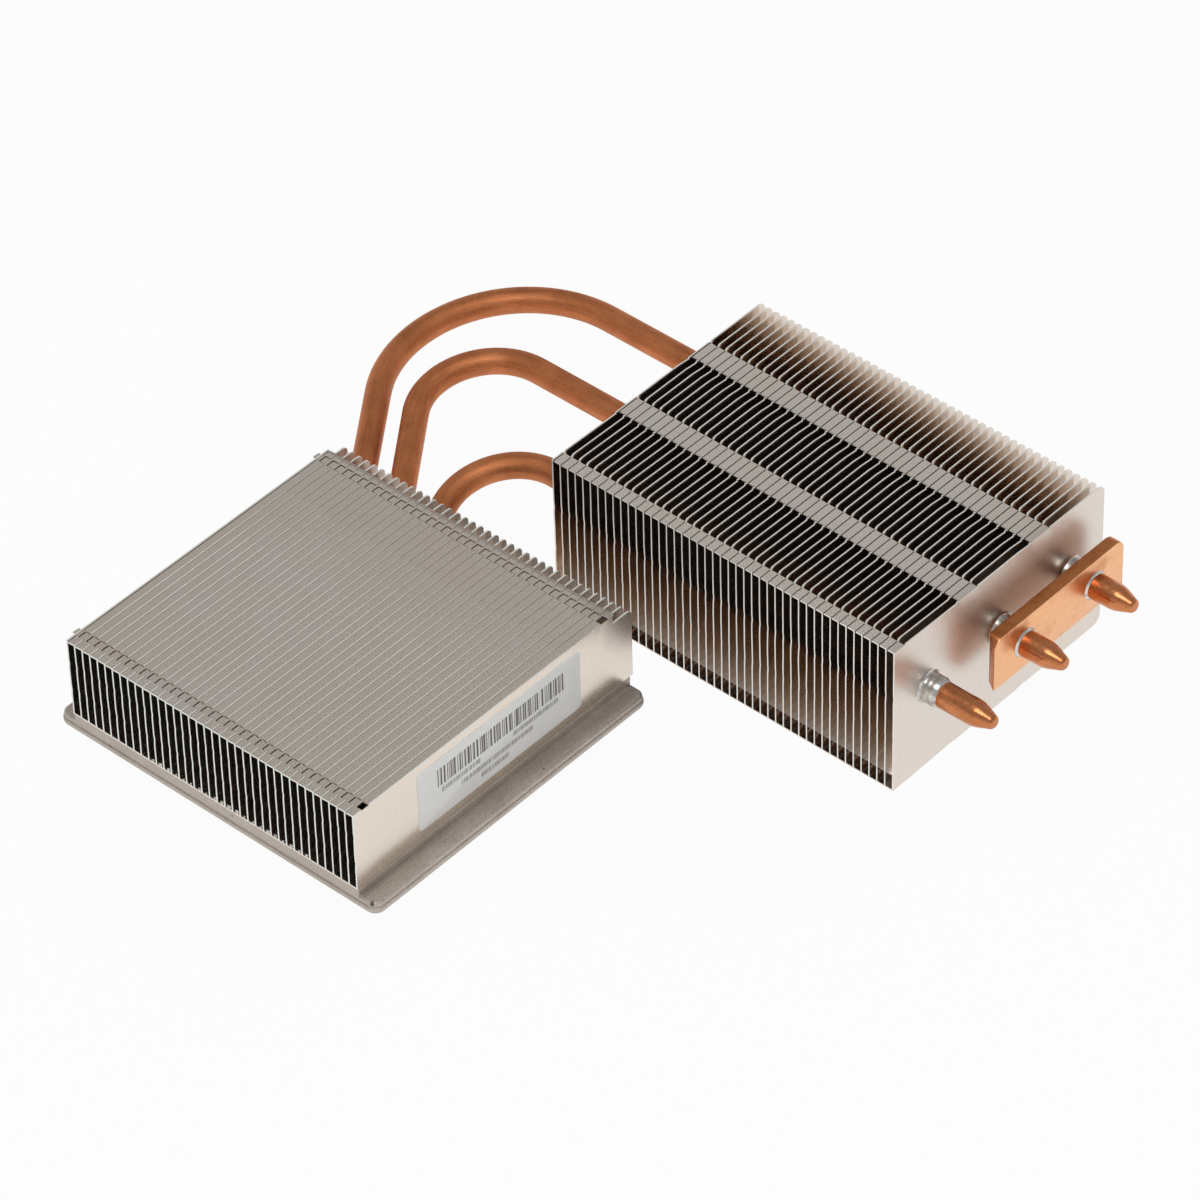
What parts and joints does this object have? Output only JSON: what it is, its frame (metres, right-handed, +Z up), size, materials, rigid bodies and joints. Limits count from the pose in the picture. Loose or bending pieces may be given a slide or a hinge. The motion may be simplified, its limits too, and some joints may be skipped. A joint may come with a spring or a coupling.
{
  "type": "passive server cpu heatsink",
  "caption": "Passive processor heatsink for a low server: a folded-fin block on a cast base plate, joined by bent copper heat pipes to a taller remote fin block.",
  "frame": {"origin": "middle of the base plate's underside, the face that meets the processor's lid", "axes": "+X across the fins towards the remote block's pinched pipe ends, +Y along the fins towards the remote block, +Z up, away from the processor"},
  "size_m": [0.1828, 0.1779, 0.0394],
  "materials": {
    "fin_aluminium": "satin rolled sheet, bright sheared edges",
    "base_aluminium": "matt, finely grained die casting",
    "pipe_copper": "satin drawn copper tube with faint streaks",
    "bar_copper": "lightly brushed copper strip",
    "solder": "bright tin solder",
    "label_film": "matt printed film"
  },
  "bodies": {
    "root": {"base_plate": "base_aluminium", "cpu_fins": "fin_aluminium", "heat_pipe_rear": "pipe_copper", "heat_pipe_middle": "pipe_copper", "heat_pipe_front": "pipe_copper", "tie_bar": "bar_copper", "solder_collar_rear": "solder", "solder_collar_middle": "solder", "solder_collar_front": "solder", "solder_ring_rear": "solder", "solder_ring_middle": "solder", "label": "label_film", "remote_fin_01": "fin_aluminium", "remote_fin_02": "fin_aluminium", "remote_fin_03": "fin_aluminium", "remote_fin_04": "fin_aluminium", "remote_fin_05": "fin_aluminium", "remote_fin_06": "fin_aluminium", "remote_fin_07": "fin_aluminium", "remote_fin_08": "fin_aluminium", "remote_fin_09": "fin_aluminium", "remote_fin_10": "fin_aluminium", "remote_fin_11": "fin_aluminium", "remote_fin_12": "fin_aluminium", "remote_fin_13": "fin_aluminium", "remote_fin_14": "fin_aluminium", "remote_fin_15": "fin_aluminium", "remote_fin_16": "fin_aluminium", "remote_fin_17": "fin_aluminium", "remote_fin_18": "fin_aluminium", "remote_fin_19": "fin_aluminium", "remote_fin_20": "fin_aluminium", "remote_fin_21": "fin_aluminium", "remote_fin_22": "fin_aluminium", "remote_fin_23": "fin_aluminium", "remote_fin_24": "fin_aluminium", "remote_fin_25": "fin_aluminium", "remote_fin_26": "fin_aluminium", "remote_fin_27": "fin_aluminium", "remote_fin_28": "fin_aluminium", "remote_fin_29": "fin_aluminium", "remote_fin_30": "fin_aluminium", "remote_fin_31": "fin_aluminium", "remote_fin_32": "fin_aluminium", "remote_fin_33": "fin_aluminium", "remote_fin_34": "fin_aluminium", "remote_fin_35": "fin_aluminium", "remote_fin_36": "fin_aluminium", "remote_fin_37": "fin_aluminium", "remote_fin_38": "fin_aluminium", "remote_fin_39": "fin_aluminium", "remote_fin_40": "fin_aluminium", "remote_fin_41": "fin_aluminium", "remote_fin_42": "fin_aluminium", "remote_fin_43": "fin_aluminium", "remote_fin_44": "fin_aluminium", "remote_fin_45": "fin_aluminium"}
  },
  "joints": []
}
